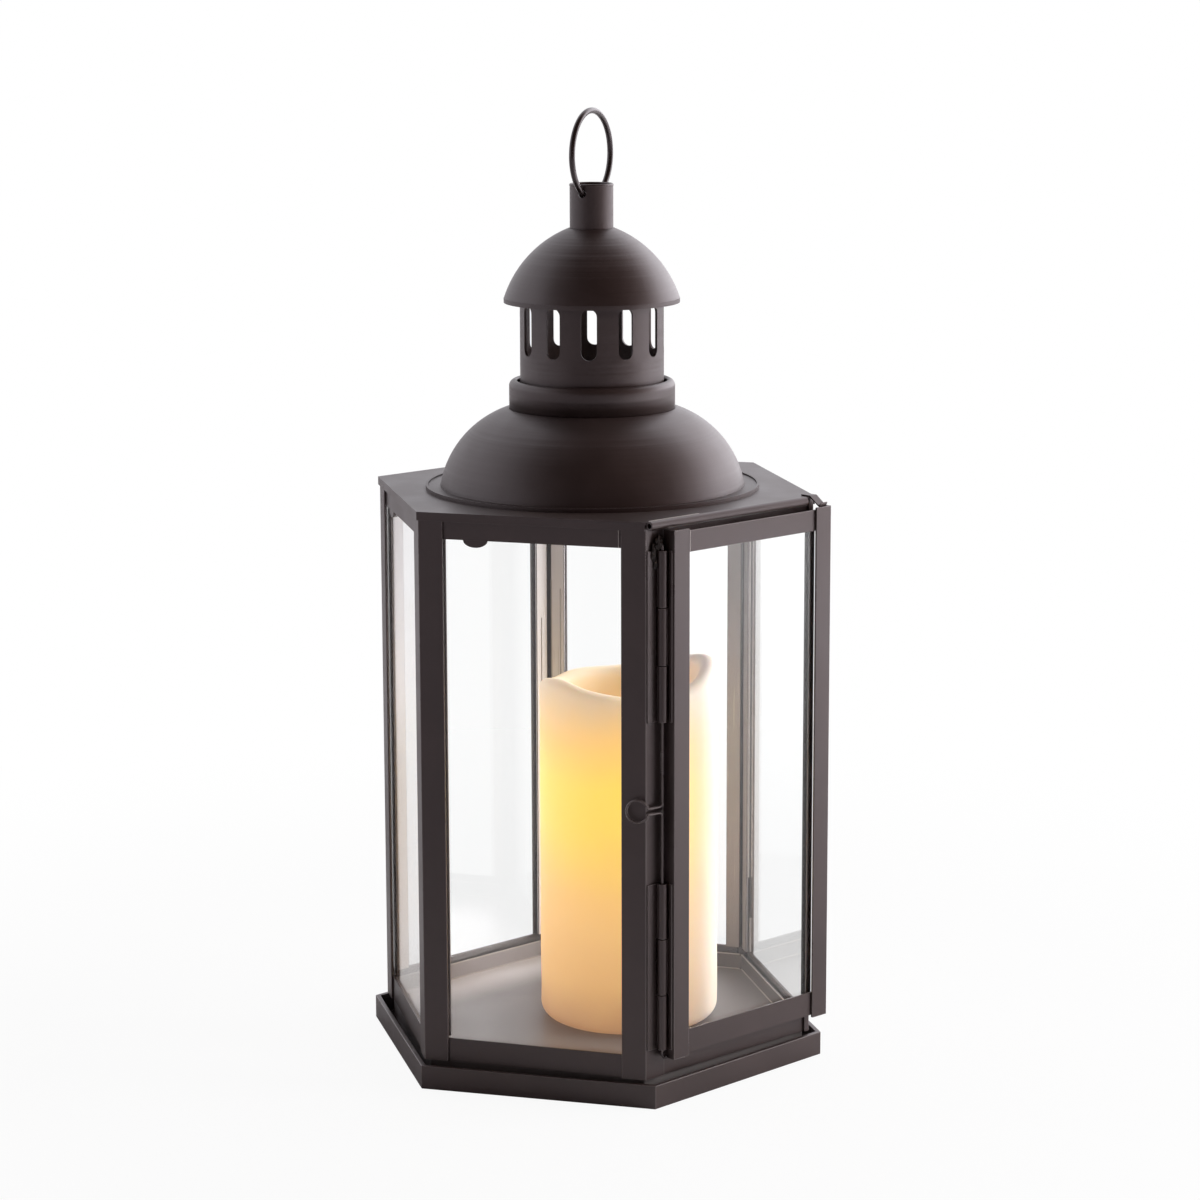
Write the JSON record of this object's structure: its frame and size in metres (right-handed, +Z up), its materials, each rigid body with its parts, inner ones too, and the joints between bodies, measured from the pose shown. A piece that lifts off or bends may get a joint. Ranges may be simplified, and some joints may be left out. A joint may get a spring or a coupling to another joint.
{
  "type": "hurricane candle lantern",
  "caption": "Six-sided glazed metal lantern with a hinged glass door, spun hood, slotted chimney under a cap, hanging ring and a flameless pillar candle.",
  "frame": {"origin": "centre of the base's underside, on the axis of the hood and chimney", "axes": "+Z up, -Y out through the glazed door, +X to the right of someone who faces the door"},
  "size_m": [0.2012, 0.1786, 0.4007],
  "materials": {
    "bronze_paint": "satin dark bronze paint on sheet steel",
    "pane_glass": "clear flat glass",
    "candle_wax": "ivory wax, softly glowing",
    "unit_plastic": "ivory moulded plastic",
    "lamp_glow": "warm light-emitting bulb",
    "switch_plastic": "black moulded plastic"
  },
  "bodies": {
    "lantern": {"base_tray": "bronze_paint", "floor_pan": "bronze_paint", "sill_ring": "bronze_paint", "head_ring": "bronze_paint", "post_1": "bronze_paint", "post_2": "bronze_paint", "post_3": "bronze_paint", "post_4": "bronze_paint", "post_5": "bronze_paint", "post_6": "bronze_paint", "pane_1": "pane_glass", "pane_2": "pane_glass", "pane_3": "pane_glass", "pane_4": "pane_glass", "pane_5": "pane_glass", "pane_tab_1": "bronze_paint", "pane_tab_2": "bronze_paint", "pane_tab_3": "bronze_paint", "pane_tab_4": "bronze_paint", "pane_tab_5": "bronze_paint", "top_plate": "bronze_paint", "hood": "bronze_paint", "collar": "bronze_paint", "chimney": "bronze_paint", "cap": "bronze_paint", "neck": "bronze_paint", "door_catch": "bronze_paint", "hinge_pin": "bronze_paint", "post_leaf_low": "bronze_paint", "post_leaf_high": "bronze_paint"},
    "ring": {"ring": "bronze_paint"},
    "door": {"door_stile_left": "bronze_paint", "door_stile_right": "bronze_paint", "door_sill": "bronze_paint", "door_head": "bronze_paint", "door_pane": "pane_glass", "door_clip_1": "bronze_paint", "door_clip_2": "bronze_paint", "door_clip_3": "bronze_paint", "door_clip_4": "bronze_paint", "door_leaf_low": "bronze_paint", "door_leaf_high": "bronze_paint"},
    "candle": {"candle_wax": "candle_wax", "candle_unit": "unit_plastic", "candle_lid": "unit_plastic", "candle_bulb": "lamp_glow"},
    "switch": {"candle_switch": "switch_plastic"}
  },
  "joints": [
    {"name": "door_swing", "type": "hinge", "parent": "lantern", "child": "door", "pos_m": [-0.0411, -0.08549, 0.126], "axis": [0, 0, -1], "range_deg": [0, 105]},
    {"name": "ring_swing", "type": "hinge", "parent": "lantern", "child": "ring", "pos_m": [0, 0, 0.3659], "axis": [0.9336, 0.3584, 0], "range_deg": [-125, 125]},
    {"name": "candle_lift", "type": "slide", "parent": "lantern", "child": "candle", "axis": [0, 0, 1], "range_m": [0, 0.06]},
    {"name": "switch_slide", "type": "slide", "parent": "candle", "child": "switch", "axis": [1, 0, 0], "range_m": [0, 0.003]}
  ]
}
